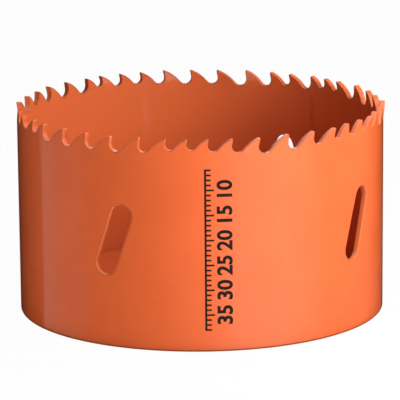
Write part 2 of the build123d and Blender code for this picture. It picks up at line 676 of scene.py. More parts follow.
@dataclass
class Sheet:
    """A sheet of metal between two parallel faces, bounded by rims.

    Args:
        thickness: Distance between the faces.
        rims: Its edges.
        seams: Pairs of end points, as (rim, column), joined by a straight cut where the sheet closes later.
        open_rims: Edges of the two faces that get no wall between them.
        spacing: Size of the grid that fills the faces, along x and y.
        clearance: Share of the spacing that the grid keeps from an edge.
    """

    thickness: float
    rims: list[Rim]
    spacing: Point
    seams: list[tuple[tuple[int, int], tuple[int, int]]] = field(default_factory=list)
    open_rims: list[Rim] = field(default_factory=list)
    clearance: float = 0.4

    def chains(self) -> tuple[np.ndarray, np.ndarray, list[np.ndarray]]:
        """Lay out the first face's outline.

        Returns:
            The outline's points, its edges as index pairs, and each rim's point indices.
        """
        points: list[np.ndarray] = []
        edges: list[tuple[int, int]] = []
        members: list[np.ndarray] = []
        count = 0
        for rim in (*self.rims, *self.open_rims):
            line = rim.columns(rim.profile[0][0])
            indices = np.arange(count, count + len(line))
            edges += list(zip(indices[:-1], indices[1:]))
            if rim.is_loop:
                edges.append((indices[-1], indices[0]))
            points.append(line)
            members.append(indices)
            count += len(line)
        outline = np.vstack(points)
        for (rim_a, column_a), (rim_b, column_b) in self.seams:
            first, last = members[rim_a][column_a], members[rim_b][column_b]
            steps = max(1, round(float(np.linalg.norm(outline[last] - outline[first])) / self.spacing[1]))
            between = np.linspace(outline[first], outline[last], steps + 1)[1:-1]
            chain = [first, *range(len(outline), len(outline) + len(between)), last]
            outline = np.vstack([outline, between])
            edges += list(zip(chain[:-1], chain[1:]))
        return outline, np.array(edges), members

    def face(self) -> tuple[np.ndarray, np.ndarray, list[np.ndarray]]:
        """Triangulate the first face, with a grid inside it.

        Returns:
            The face's points, its triangles and each rim's point indices.
        """
        outline, edges, members = self.chains()
        low, high = outline.min(axis=0), outline.max(axis=0)
        counts = [max(2, round((high[k] - low[k]) / self.spacing[k])) for k in (0, 1)]
        x, y = (np.linspace(low[k], high[k], counts[k] + 1) for k in (0, 1))
        grid = np.stack(np.meshgrid(x, y, indexing="ij"), axis=-1).reshape(-1, 2)
        grid = grid[inside(grid, outline, edges)]
        grid = grid[distance_to_edges(grid, outline, edges) > self.clearance * min(self.spacing)]
        places = [Vector(p / MM) for p in np.vstack([outline, grid])]
        wires = [tuple(int(i) for i in e) for e in edges]
        corners, _, faces, sources, *_ = delaunay_2d_cdt(places, wires, [], WHOLE_HULL, MERGE_WITHIN)
        found = {i: k for k, merged in enumerate(sources) for i in merged}
        points = np.array([tuple(v) for v in corners]) * MM
        triangles = np.array([tuple(f) for f in faces])
        triangles = triangles[inside(points[triangles].mean(axis=1), outline, edges)]
        return points, triangles, [np.array([found[i] for i in indices]) for indices in members]

    def build(self, name: str) -> Mesh:
        """Make the sheet's mesh, flat: x and y in its plane become x and z, and depth becomes y.

        Args:
            name: The mesh's name.

        Returns:
            The mesh, with an edge attribute that is 1 on its rounds and a skin attribute on its two faces.
        """
        points, triangles, members = self.face()
        count = len(points)
        far = points.copy()
        for rim, indices in zip(self.rims, members):
            far[indices] = rim.columns(rim.profile[-1][0])
        vertices = [laid(points, 0.0), laid(far, self.thickness)]
        edge = [np.zeros(2 * count)]
        faces: list[tuple[int, ...]] = [tuple(t) for t in triangles]
        faces += [tuple(int(i) + count for i in reversed(t)) for t in triangles]
        total = 2 * count
        for rim, indices in zip(self.rims, members):
            levels = [indices]
            for inset, depth in rim.profile[1:-1]:
                line = rim.columns(inset)
                vertices.append(laid(line, depth))
                edge.append(np.full(len(line), 1.0))
                levels.append(np.arange(total, total + len(line)))
                total += len(line)
            levels.append(indices + count)
            width = len(indices)
            for upper, lower in zip(levels[:-1], levels[1:]):
                for i in range(width if rim.is_loop else width - 1):
                    j = (i + 1) % width
                    faces.append((int(upper[i]), int(lower[i]), int(lower[j]), int(upper[j])))
        mesh = bpy.data.meshes.new(name)
        mesh.from_pydata([tuple(v) for v in np.vstack(vertices)], [], faces)
        mesh.attributes.new("edge", "FLOAT", "POINT").data.foreach_set("value", np.concatenate(edge))
        skin = np.arange(len(faces)) < 2 * len(triangles)
        mesh.attributes.new("skin", "FLOAT", "FACE").data.foreach_set("value", skin.astype(float))
        return mesh


def laid(line: np.ndarray, depth: float) -> np.ndarray:
    """Points of a sheet's plane at a depth: x and y become x and z, and the depth becomes y."""
    return np.column_stack([line[:, 0], np.full(len(line), depth), line[:, 1]])


def inside(places: np.ndarray, outline: np.ndarray, edges: np.ndarray) -> np.ndarray:
    """Tell which places lie inside an outline, by counting the edges that a ray to the right crosses.

    Args:
        places: The places, one per row.
        outline: The outline's points.
        edges: Its edges as index pairs.

    Returns:
        True for each place inside.
    """
    start, end = outline[edges[:, 0]], outline[edges[:, 1]]
    x, y = places[:, 0, None], places[:, 1, None]
    spans = (start[:, 1] > y) != (end[:, 1] > y)
    rise = np.where(end[:, 1] == start[:, 1], 1.0, end[:, 1] - start[:, 1])
    crossing = start[:, 0] + (y - start[:, 1]) / rise * (end[:, 0] - start[:, 0])
    return np.sum(spans & (crossing > x), axis=1) % 2 == 1


def distance_to_edges(places: np.ndarray, outline: np.ndarray, edges: np.ndarray) -> np.ndarray:
    """Distance from each place to the nearest edge of an outline.

    Args:
        places: The places, one per row.
        outline: The outline's points.
        edges: Its edges as index pairs.

    Returns:
        One distance per place.
    """
    start, along = outline[edges[:, 0]], outline[edges[:, 1]] - outline[edges[:, 0]]
    offset = places[:, None, :] - start
    share = np.clip(np.sum(offset * along, axis=2) / np.sum(along * along, axis=1), 0.0, 1.0)
    return np.linalg.norm(offset - share[..., None] * along, axis=2).min(axis=1)


# ---- From trees and meshes to finished pieces --------------------


def link(item: Object) -> Object:
    """Put an object into the scene."""
    bpy.context.scene.collection.objects.link(item)
    return item


def evaluated_mesh(item: Object) -> Mesh:
    """Plain mesh of what an object's text or modifiers make."""
    return bpy.data.meshes.new_from_object(item.evaluated_get(bpy.context.evaluated_depsgraph_get()))


def grow(name: str, mesh: Mesh, tree: NodeTree, values: Inputs) -> Object:
    """Run a geometry tree on a mesh and keep its result as a plain mesh object.

    Args:
        name: The piece's name.
        mesh: What the tree starts from.
        tree: The geometry tree.
        values: Its inputs by name.

    Returns:
        The object, at the origin, with no modifier left.
    """
    piece = link(bpy.data.objects.new(name, mesh))
    modifier = piece.modifiers.new("Build", "NODES")
    modifier.node_group = tree
    for item in tree.interface.items_tree:
        if item.item_type == "SOCKET" and item.in_out == "INPUT" and item.name in values:
            modifier[item.identifier] = values[item.name]
    result = evaluated_mesh(piece)
    piece.modifiers.clear()
    piece.data = result
    result.name = name
    weigh_normals(result)
    return piece


def weigh_normals(mesh: Mesh) -> None:
    """Shade a mesh smoothly with normals that follow its larger faces, so that narrow rounds stay crisp.

    Where it has a skin attribute, the points of the skin take their normals from the skin alone.

    Args:
        mesh: The mesh to shade.
    """
    count = len(mesh.polygons)
    pull = np.ones(count)
    if "skin" in mesh.attributes:
        mesh.attributes["skin"].data.foreach_get("value", pull)
        pull = np.maximum(pull, SIDE_PULL)
    area = np.zeros(count)
    normal = np.zeros(3 * count)
    loops = np.zeros(count, dtype=int)
    owner = np.zeros(len(mesh.loops), dtype=int)
    mesh.polygons.foreach_get("area", area)
    mesh.polygons.foreach_get("normal", normal)
    mesh.polygons.foreach_get("loop_total", loops)
    mesh.loops.foreach_get("vertex_index", owner)
    weighted = np.repeat(normal.reshape(-1, 3) * (area * pull)[:, None], loops, axis=0)
    total = np.zeros((len(mesh.vertices), 3))
    np.add.at(total, owner, weighted)
    total /= np.maximum(np.linalg.norm(total, axis=1, keepdims=True), TINY)
    mesh.polygons.foreach_set("use_smooth", np.ones(count, dtype=bool))
    mesh.normals_split_custom_set_from_vertices([tuple(n) for n in total])


class Piece:
    """A piece of the saw that a geometry tree grows from a starting mesh."""

    title: ClassVar[str]
    slot: ClassVar[str | None] = ENAMEL_SLOT
    stands_for: ClassVar[tuple[str, ...]] = ()

    def start(self) -> Mesh:
        """The mesh that the tree starts from, empty where it makes everything itself."""
        return bpy.data.meshes.new(self.title)

    def values(self) -> dict[str, Any]:
        """The tree's inputs, in order."""
        raise NotImplementedError

    def tree(self, values: dict[str, Any]) -> NodeTree:
        """The geometry tree, made for its inputs and a Material."""
        raise NotImplementedError

    def build(self, material: Material) -> Object:
        """Grow the piece, hang it under the root body's empty and hide the imported parts that it stands for.

        Args:
            material: Its paint or ink.

        Returns:
            The finished piece.
        """
        values = self.values() | {"Material": material}
        piece = grow(self.title, self.start(), self.tree(values), values)
        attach(piece, BODY)
        if self.stands_for:
            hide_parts(*self.stands_for)
        log.info("%s: %d vertices, %d faces", piece.name, len(piece.data.vertices), len(piece.data.polygons))
        return piece


def roll_group() -> NodeTree:
    """Geometry group that rolls a flat strip round the axis.

    The strip's x is the length round the outside, its y the depth below the outside and its z the height.

    Returns:
        The geometry group.
    """
    group = GeometryGroup("Roll Round Axis", {"Radius": 0.0, "Start Angle": 0.0, "Lean": 0.0})
    strip, outside, start, lean = group.inputs
    along, depth, height = group.mesh_place()
    angle = along / outside + start
    radius = outside - depth + lean
    x = radius * group.math("SINE", angle)
    y = radius * group.math("COSINE", angle) * -1.0
    group.fill(group.target, {"Geometry": group.moved(strip, group.vector(x, y, height))})
    return group.tree


# ---- The toothed band --------------------------------------------


class ToothSet(Enum):
    """How a tooth leans off the wall; the values are the order that they come in."""

    INWARD = 0
    STRAIGHT = 1
    OUTWARD = 2


@dataclass(frozen=True)
class ToothForm:
    """Shape of the space between two tooth tips, with its lengths as shares of the pitch."""

    hook: float = math.radians(10.0)
    relief: float = math.radians(21.5)
    back: float = math.radians(47.0)
    depth_share: float = 0.505
    radius_share: float = 0.23
    heel_share: float = 0.85
    land: float = 0.25 * MM
    tip_round: float = 0.15 * MM
    tip_steps: int = 3
    gullet_steps: int = 14
    heel_steps: int = 8

    def gullet_centre(self, pitch: float) -> float:
        """Distance from a tip to the lowest point of the gullet in front of it."""
        drop = (self.depth_share - self.radius_share) * pitch
        return (self.radius_share * pitch - drop * math.sin(self.hook)) / math.cos(self.hook)

    def corners(self, pitch: float) -> list[tuple[Point, float, int]]:
        """Corners from a tip, at the origin, to just before the next one.

        Args:
            pitch: Distance between the two tips.

        Returns:
            Each corner with the radius that rounds it and the pieces of that round.
        """
        hook_slope, back_slope, relief_slope = (math.tan(a) for a in (self.hook, self.back, self.relief))
        radius = self.radius_share * pitch
        leave_x = self.gullet_centre(pitch) + radius * math.sin(self.back)
        leave_y = radius - self.depth_share * pitch - radius * math.cos(self.back)
        back_at_tip = leave_y - back_slope * leave_x
        root_y = back_at_tip / (1 - back_slope * hook_slope)
        land_start = pitch - self.land
        heel_x = -(back_at_tip + relief_slope * land_start) / (back_slope - relief_slope)
        heel = (heel_x, relief_slope * (heel_x - land_start))
        heel_reach = self.heel_share * math.dist(heel, (land_start, 0.0))
        heel_radius = heel_reach / math.tan((self.back - self.relief) / 2)
        return [
            ((0.0, 0.0), self.tip_round, self.tip_steps),
            ((hook_slope * root_y, root_y), radius, self.gullet_steps),
            (heel, heel_radius, self.heel_steps),
            ((land_start, 0.0), 0.0, 1),
        ]


@dataclass
class ToothedBand(Piece):
    """The cutting wall: a rolled strip with set, variable-pitch teeth and four slanted slots."""

    title: ClassVar[str] = "painted_band"
    stands_for: ClassVar[tuple[str, ...]] = (BAND_NODE,)
    roll: NodeTree
    cut_radius: float
    height: float
    wall: float = 1.15 * MM
    set_out: float = 0.40 * MM
    set_in: float = 0.25 * MM
    pitches: dict[str, float] = field(
        default_factory=lambda: {"a": 6.4 * MM, "b": 5.9 * MM, "c": 5.4 * MM, "d": 4.8 * MM, "e": 4.2 * MM}
    )
    pitch_order: str = "abbceedcabcddedbbbcabeecdbabbcddebbbcacdddda"
    first_tip: float = math.radians(-46.3)
    tooth: ToothForm = ToothForm()
    slot_angles: tuple[float, ...] = tuple(math.radians(a) for a in (-27.3, 56.2, 147.6, 240.0))
    slot_length: float = 15.0 * MM
    slot_width: float = 4.5 * MM
    slot_lean: float = math.radians(19.5)
    slot_height: float = 21.8 * MM
    slot_end_steps: int = 20
    foot_break: float = 0.35 * MM
    paint_round: float = 0.14 * MM
    punch_round: float = 0.26 * MM
    round_steps: int = 5
    seam_weld: float = 0.002 * MM
    grid: Point = (0.7 * MM, 1.5 * MM)

    @property
    def radius(self) -> float:
        """Radius of the outside of the wall."""
        return self.cut_radius - self.set_out

    @property
    def girth(self) -> float:
        """Length round the outside of the wall."""
        return math.tau * self.radius

    def ring_of_pitches(self) -> list[float]:
        """Pitches in order round the rim, repeated until the ring is full and stretched to close it."""
        pitches: list[float] = []
        for name in itertools.cycle(self.pitch_order):
            if sum(pitches) + self.pitches[name] / 2 > self.girth:
                break
            pitches.append(self.pitches[name])
        stretch = self.girth / sum(pitches)
        return [pitch * stretch for pitch in pitches]

    def cut_line(self) -> np.ndarray:
        """Outline of the teeth along the strip, from the first tip on.

        Returns:
            The outline's points, one per row.
        """
        corners: list[tuple[Point, float, int]] = []
        start = 0.0
        for pitch in self.ring_of_pitches():
            corners += [((start + x, self.height + y), r, n) for (x, y), r, n in self.tooth.corners(pitch)]
            start += pitch
        line: list[Point] = []
        for i, (corner, radius, steps) in enumerate(corners):
            before, after = corners[i - 1][0], corners[(i + 1) % len(corners)][0]
            if i == 0:
                before = (before[0] - self.girth, before[1])
            if i == len(corners) - 1:
                after = (after[0] + self.girth, after[1])
            line += fillet(before, corner, after, radius, steps)
        return np.array(line)

    def slot_line(self, angle: float) -> np.ndarray:
        """Outline of one slanted slot on the strip.

        Args:
            angle: Where the slot's centre is round the axis.

        Returns:
            The outline's points, one per row, anticlockwise.
        """
        end_radius = self.slot_width / 2
        straight = self.slot_length / 2 - end_radius
        points = []
        for end, first in ((1, -math.pi / 2), (-1, math.pi / 2)):
            for k in range(self.slot_end_steps + 1):
                a = first + math.pi * k / self.slot_end_steps
                points.append((end * straight + end_radius * math.cos(a), end_radius * math.sin(a)))
        slant = math.pi / 2 - self.slot_lean
        turn = np.array([[math.cos(slant), -math.sin(slant)], [math.sin(slant), math.cos(slant)]])
        along = (angle - self.first_tip) % math.tau * self.radius
        return np.array(points) @ turn.T + (along, self.slot_height)

    def start(self) -> Mesh:
        """The band as a flat strip, before it is rolled.

        Returns:
            The strip's mesh, with the tooth number and bend height of each point as attributes.
        """
        soft = rounding(self.paint_round)
        cut = through_edge(self.wall, soft, soft)
        top = Rim(self.cut_line(), cut, (self.girth, 0.0))
        start = float(top.columns(self.paint_round)[0, 0])
        count = round(self.girth / self.grid[0])
        foot_x = np.linspace(start + self.girth, start, count, endpoint=False)
        foot_round = rounding(self.foot_break, self.round_steps)
        foot_profile = through_edge(self.wall, foot_round, bevel(self.foot_break))
        foot = Rim(np.column_stack([foot_x, np.zeros(count)]), foot_profile, (-self.girth, 0.0))
        punched = through_edge(self.wall, rounding(self.punch_round, self.round_steps), soft)
        slots = [Rim(self.slot_line(angle), punched) for angle in self.slot_angles]
        sheet = Sheet(self.wall, [top, foot, *slots], self.grid, seams=[((0, -1), (1, 0)), ((0, 0), (1, -1))])
        mesh = sheet.build("band_strip")
        self.mark_teeth(mesh)
        return mesh

    def mark_teeth(self, mesh: Mesh) -> None:
        """Write which tooth each point belongs to and where that tooth starts to lean.

        Args:
            mesh: The flat strip.
        """
        pitches = np.array(self.ring_of_pitches())
        tips = np.concatenate([[0.0], np.cumsum(pitches)])
        centres = tips[:-1] + [self.tooth.gullet_centre(p) for p in pitches]
        bends = self.height - self.tooth.depth_share * np.minimum(pitches, np.roll(pitches, 1))
        co = np.zeros(3 * len(mesh.vertices))
        mesh.vertices.foreach_get("co", co)
        tooth = np.searchsorted(centres, co[0::3]) % len(pitches)
        mesh.attributes.new("tooth", "INT", "POINT").data.foreach_set("value", tooth)
        mesh.attributes.new("bend", "FLOAT", "POINT").data.foreach_set("value", bends[tooth])

    def values(self) -> dict[str, Any]:
        """The tree's inputs, in order."""
        return named(self, "radius", "first_tip", "height", "set_out", "set_in")

    def tree(self, values: dict[str, Any]) -> NodeTree:
        """Geometry tree that sets the teeth, rolls the strip and welds its ends.

        Args:
            values: Its inputs by name.

        Returns:
            The tree.
        """
        group = GeometryGroup("Roll Toothed Band", values)
        strip, radius, start, height, set_out, set_in, material = group.inputs
        tooth, bend = (
            group.value("GeometryNodeInputNamedAttribute", {"Name": name}, data_type=kind)
            for name, kind in (("tooth", "INT"), ("bend", "FLOAT"))
        )
        turn = group.math("MODULO", tooth, float(len(ToothSet)))
        leans = (ToothSet.OUTWARD, ToothSet.INWARD)
        outward, inward = (group.math("COMPARE", turn, float(lean.value), 0.5) for lean in leans)
        level = group.mesh_place()[2]
        share = group.math("DIVIDE", level - bend, height - bend, clamp=True)
        lean = (outward * set_out - inward * set_in) * share
        inputs = {"Geometry": strip, "Radius": radius, "Start Angle": start, "Lean": lean}
        rolled = group.use(self.roll, inputs)
        return group.finish(rolled["Geometry"], material, self.seam_weld)


# ---- The back plate, its thread and its weld ---------------------


@dataclass(frozen=True)
class UnifiedThread:
    """Internal thread of the Unified form."""

    major: float = 15.875 * MM / 2
    minor: float = 14.5 * MM / 2
    pitch: float = 25.4 * MM / 18
    crest_half: float = 25.4 * MM / 18 / 8
    rows_per_pitch: int = 32
    columns: int = 120
    seam_weld: float = 0.003 * MM

    def tree(self, values: dict[str, Any]) -> NodeTree:
        """Geometry tree for the threaded wall of a bore, bevelled at both mouths.

        Rows of its grid follow the helix, and are pressed flat where they leave the bore.

        Args:
            values: Its inputs by name.

        Returns:
            The tree.
        """
        group = GeometryGroup("Thread Wall", values)
        disc, major, minor, pitch, crest_half, columns, length, rows, material = group.inputs
        travel = length + pitch
        sizes = {"Size X": math.tau, "Size Y": travel, "Vertices X": columns + 1.0, "Vertices Y": rows + 1.0}
        grid = group.value("GeometryNodeMeshGrid", sizes)
        across, up, _ = group.mesh_place()
        angle = across + math.pi
        turns = angle / math.tau
        climb = (turns - 1.0) * pitch
        height = (up + travel * 0.5 + climb).at_least(0.0).at_most(length)

        from_crest = abs(group.math("FRACT", height / pitch - turns) - 0.5)
        flank = (from_crest * pitch - crest_half) * math.sqrt(3.0)
        threaded = minor + flank.at_least(0.0).at_most(major - minor)
        bevelled = major - height.at_most(length - height)
        radius = threaded.at_least(bevelled)

        x, y = (radius * group.math(kind, angle) for kind in ("COSINE", "SINE"))
        wall = group.value("GeometryNodeFlipFaces", {0: group.moved(grid, group.vector(x, y, height))})
        return group.finish(group.gathered(wall, disc), material, self.seam_weld)


@dataclass
class BackPlate(Piece):
    """Thick disc in the foot of the band, with the arbor thread and the drive-pin holes."""

    title: ClassVar[str] = "threaded_plate"
    stands_for: ClassVar[tuple[str, ...]] = (PLATE_NODE,)
    radius: float
    thickness: float
    weld_groove: float = 0.35 * MM
    pin_count: int = 4
    pin_circle: float = 25.0 * MM / 2
    pin_radius: float = 6.6 * MM / 2
    pin_chamfer: float = 0.3 * MM
    paint_round: float = 0.14 * MM
    rim_round: float = 0.80 * MM
    rim_steps: int = 4
    rim_points: int = 256
    pin_points: int = 64
    thread: UnifiedThread = UnifiedThread()
    grid: Point = (2.5 * MM, 2.5 * MM)

    def start(self) -> Mesh:
        """The plate without its thread, upright: its bore is left open for the threaded wall.

        Returns:
            The disc's mesh, top face first.
        """
        rim = rounding(self.rim_round, self.rim_steps)
        seat = through_edge(self.thickness, rim, bevel(self.weld_groove))
        pin_edge = through_edge(self.thickness, rounding(self.paint_round), bevel(self.pin_chamfer))
        outside = Rim(circle((0, 0), self.radius, self.rim_points, clockwise=True), seat)
        mouth = circle((0, 0), self.thread.major, self.thread.columns)
        bore = Rim(mouth, [(0.0, 0.0), (0.0, self.thickness)])
        centres = circle((0, 0), self.pin_circle, self.pin_count)
        pins = [Rim(circle(centre, self.pin_radius, self.pin_points), pin_edge) for centre in centres]
        mesh = Sheet(self.thickness, [outside, *pins], self.grid, open_rims=[bore]).build("plate_disc")
        mesh.transform(Matrix(((1, 0, 0, 0), (0, 0, 1, 0), (0, -1, 0, self.thickness), (0, 0, 0, 1))))
        return mesh

    def values(self) -> dict[str, Any]:
        """The thread's inputs, in order."""
        thread = self.thread
        rows = round((self.thickness + thread.pitch) / thread.pitch * thread.rows_per_pitch)
        sizes = named(thread, "major", "minor", "pitch", "crest_half", "columns")
        return sizes | {"Length": self.thickness, "Rows": rows}

    def tree(self, values: dict[str, Any]) -> NodeTree:
        """The thread's tree, which takes the disc in."""
        return self.thread.tree(values)


@dataclass
class WeldBead(Piece):
    """The fused bead that fills the groove between the plate and the band, on the back face."""

    title: ClassVar[str] = "weld_bead"
    seat_radius: float
    groove: float = 0.35 * MM
    ripple_count: int = 210
    ripple_depth: float = 0.05 * MM
    ripple_bow: float = 1.6
    inside_share: float = 0.97
    steps_per_ripple: int = 4
    section_points: int = 10

    def tree(self, values: dict[str, Any]) -> NodeTree:
        """Geometry tree for a rippled ring whose section is a wedge with a crowned face.

        Args:
            values: Its inputs by name.

        Returns:
            The tree.
        """
        group = GeometryGroup("Weld Ring", values)
        _, seat, groove, ripples, depth, bow, inside_share, steps, section_points, material = group.inputs
        along, section = (
            group.value("GeometryNodeCurvePrimitiveCircle", {"Radius": radius, "Resolution": count})
            for radius, count in ((seat, ripples * steps), (groove, section_points))
        )
        ring = group.value("GeometryNodeCurveToMesh", {0: along, 1: section})
        x, y, z = group.mesh_place()
        aside = (group.axis_distance(x, y) - seat) / groove
        turn = group.math("ARCTAN2", y, x) * ripples - abs(aside) * bow
        face = group.wave(turn) * depth + aside * aside * depth
        wedge = (1.0 - abs(aside)) * groove * inside_share
        upper = group.math("GREATER_THAN", z, 0.0)
        level = group.mix(upper, face, wedge.at_least(face))
        return group.finish(group.moved(ring, group.vector(x, y, level)), material)

    def values(self) -> dict[str, Any]:
        """The tree's inputs, in order."""
        ripples = ("ripple_count", "ripple_depth", "ripple_bow")
        section = ("inside_share", "steps_per_ripple", "section_points")
        return named(self, "seat_radius", "groove", *ripples, *section)


# ---- The printed depth scale -------------------------------------


@dataclass
class DepthScale(Piece):
    """Depth marks in millimetres below the tooth tips, printed on the outside of the band."""

    title: ClassVar[str] = "depth_scale"
    slot: ClassVar[str | None] = None
    roll: NodeTree
    wall_radius: float
    tip_height: float
    bearing: float = math.radians(1.6)
    first_mark: int = 6
    last_mark: int = 38
    step: float = MM
    major_every: int = 5
    minor_length: float = 0.9 * MM
    major_length: float = 1.5 * MM
    mark_width: float = 0.36 * MM
    figure_height: float = 3.0 * MM
    figure_gap: float = 0.45 * MM
    figure_weight: float = 0.12 * MM
    figure_share: float = 0.73
    figure_steps: int = 4
    figure_cuts: int = 2
    mark_columns: int = 7
    spine_rows: int = 24
    film: float = 0.025 * MM
    spine_width: float = 0.40 * MM

    @property
    def mark_count(self) -> int:
        """How many marks there are."""
        return self.last_mark - self.first_mark + 1

    def start(self) -> Mesh:
        """The numbers beside the major marks, flat and reading upwards.

        Returns:
            One mesh with every number, its thickness along y.
        """
        upright = Matrix(((0, -1, 0, 0), (0, 0, -1, 0), (1, 0, 0, 0), (0, 0, 0, 1)))
        aside = self.major_length + self.figure_gap + self.figure_height
        meshes = []
        for mark in range(self.first_mark, self.last_mark + 1):
            if mark % self.major_every:
                continue
            text = bpy.data.curves.new(f"figure_{mark}", "FONT")
            text.body = str(mark)
            text.size = self.figure_height / self.figure_share
            text.offset = self.figure_weight
            text.extrude = self.film / 2
            text.resolution_u = self.figure_steps
            text.align_x = "CENTER"
            holder = link(bpy.data.objects.new(text.name, text))
            shape = evaluated_mesh(holder)
            bpy.data.objects.remove(holder)
            shape.transform(Matrix.Translation((aside, 0.0, self.tip_height - mark * self.step)) @ upright)
            meshes.append(shape)
        return joined("figures", meshes)

    def values(self) -> dict[str, Any]:
        """The tree's inputs, in order."""
        places = ("wall_radius", "bearing", "tip_height", "first_mark", "mark_count", "step")
        bars = ("minor_length", "major_length", "major_every", "mark_width", "spine_width", "film")
        return named(self, *places, *bars)

    def tree(self, values: dict[str, Any]) -> NodeTree:
        """Geometry tree that adds the marks to the numbers and lays all of them on the wall.

        Args:
            values: Its inputs by name.

        Returns:
            The tree.
        """
        group = GeometryGroup("Depth Scale", values)
        figures, radius, bearing, tip, first, count, step, *sizes, material = group.inputs
        minor_length, major_length, every, width, spine_width, film = sizes
        number = group.value("GeometryNodeInputIndex") + first
        place = group.vector(0.0, 0.0, tip - number * step)
        points = group.value("GeometryNodePoints", {"Count": count, "Position": place})
        is_major = group.math("LESS_THAN", group.math("MODULO", number, every), 0.5)
        size = group.vector(group.mix(is_major, minor_length, major_length), film, width)
        cube = group.value("GeometryNodeMeshCube", {"Size": (1.0, 1.0, 1.0), "Vertices X": self.mark_columns})
        bar = group.value("GeometryNodeTransform", {"Geometry": cube, "Translation": (0.5, 0.0, 0.0)})
        inputs = {"Points": points, "Instance": bar, "Scale": size}
        marks = group.value("GeometryNodeInstanceOnPoints", inputs)
        real_marks = group.value("GeometryNodeRealizeInstances", {"Geometry": marks})

        span = (count - 1.0) * step
        middle = tip - (span * 0.5 + first * step)
        size = group.vector(spine_width, film, span + width)
        cube = group.value("GeometryNodeMeshCube", {"Size": size, "Vertices Z": self.spine_rows})
        place = group.vector(spine_width * -0.5, 0.0, middle)
        spine = group.value("GeometryNodeTransform", {"Geometry": cube, "Translation": place})
        fine_figures = group.value("GeometryNodeSubdivideMesh", {"Mesh": figures, "Level": self.figure_cuts})
        flat = group.gathered(fine_figures, real_marks, spine)
        rolled = group.use(self.roll, {"Geometry": flat, "Radius": radius, "Start Angle": bearing})
        return group.finish(rolled["Geometry"], material)


def joined(name: str, meshes: Sequence[Mesh]) -> Mesh:
    """Join meshes into one.

    Args:
        name: The new mesh's name.
        meshes: The meshes, which are removed.

    Returns:
        The joined mesh.
    """
    vertices: list[Vector] = []
    faces: list[tuple[int, ...]] = []
    for mesh in meshes:
        start = len(vertices)
        vertices += [v.co.copy() for v in mesh.vertices]
        faces += [tuple(start + i for i in polygon.vertices) for polygon in mesh.polygons]
        bpy.data.meshes.remove(mesh)
    whole = bpy.data.meshes.new(name)
    whole.from_pydata(vertices, [], faces)
    return whole


# ---- Studio ------------------------------------------------------


@dataclass(frozen=True)
class View:
    """The camera: where it stands and how it is turned."""

    stand: tuple[float, float, float] = (0.0, -0.60356, 0.16095)
    lens: float = 269.53
    sensor: float = 36.0
    elevation: float = 0.22835
    yaw: float = -0.00029
    pitch: float = 0.00205
    roll: float = -0.00898
    nearest: float = 0.01

    def build(self) -> Object:
        """Make the camera and give it to the scene.

        Returns:
            The camera.
        """
        data = bpy.data.cameras.new("camera")
        data.lens = self.lens
        data.sensor_width = self.sensor
        data.clip_start = self.nearest
        camera = link(bpy.data.objects.new("camera", data))
        turns = ((math.pi / 2 - self.elevation, "X"), (-self.yaw, "Y"), (self.pitch, "X"), (self.roll, "Z"))
        camera.matrix_world = Matrix.Translation(self.stand)
        for angle, axis in turns:
            camera.matrix_world @= Matrix.Rotation(angle, 4, axis)
        bpy.context.scene.camera = camera
        return camera


@dataclass(frozen=True)
class Softbox:
    """A square or oblong area lamp that looks at the saw.

    Its place is given round the saw: bearing from the front towards +X, elevation and distance, in degrees
    and metres, and its strength is the light that it throws on a surface that faces it, where 1 shows a
    colour as it is written.
    """

    name: str
    bearing: float
    elevation: float
    distance: float
    size: Point
    strength: float
    target: tuple[float, float, float] = (0.0, 0.0, 0.02)
    colour: Colour = (1.0, 1.0, 1.0)
    mirrored: bool = False

    def build(self) -> Object:
        """Hang the lamp.

        Returns:
            The lamp.
        """
        data = bpy.data.lights.new(self.name, "AREA")
        data.shape = "RECTANGLE"
        data.size, data.size_y = self.size
        data.energy = self.strength * (math.pi * self.distance) ** 2
        data.color = self.colour
        bearing, elevation = math.radians(self.bearing), math.radians(self.elevation)
        level = math.cos(elevation)
        away = Vector((math.sin(bearing) * level, -math.cos(bearing) * level, math.sin(elevation)))
        lamp = link(bpy.data.objects.new(self.name, data))
        lamp.visible_camera = False
        lamp.visible_glossy = self.mirrored
        lamp.location = Vector(self.target) + away * self.distance
        lamp.rotation_euler = (-away).to_track_quat("-Z", "Y").to_euler()
        return lamp


def stage_item(
    name: str, places: list[Any], faces: list[Any], material: Material, unseen_by: tuple[str, ...] = ()
) -> Object:
    """Put a mesh on the stage, where it isn't part of the saw.

    Args:
        name: Its name.
        places: Its points.
        faces: Its faces.
        material: Its material.
        unseen_by: Kinds of ray that pass it by.

    Returns:
        The item.
    """
    mesh = bpy.data.meshes.new(name)
    mesh.from_pydata(places, [], faces)
    mesh.materials.append(material)
    item = link(bpy.data.objects.new(name, mesh))
    for ray in unseen_by:
        setattr(item, f"visible_{ray}", False)
    return item


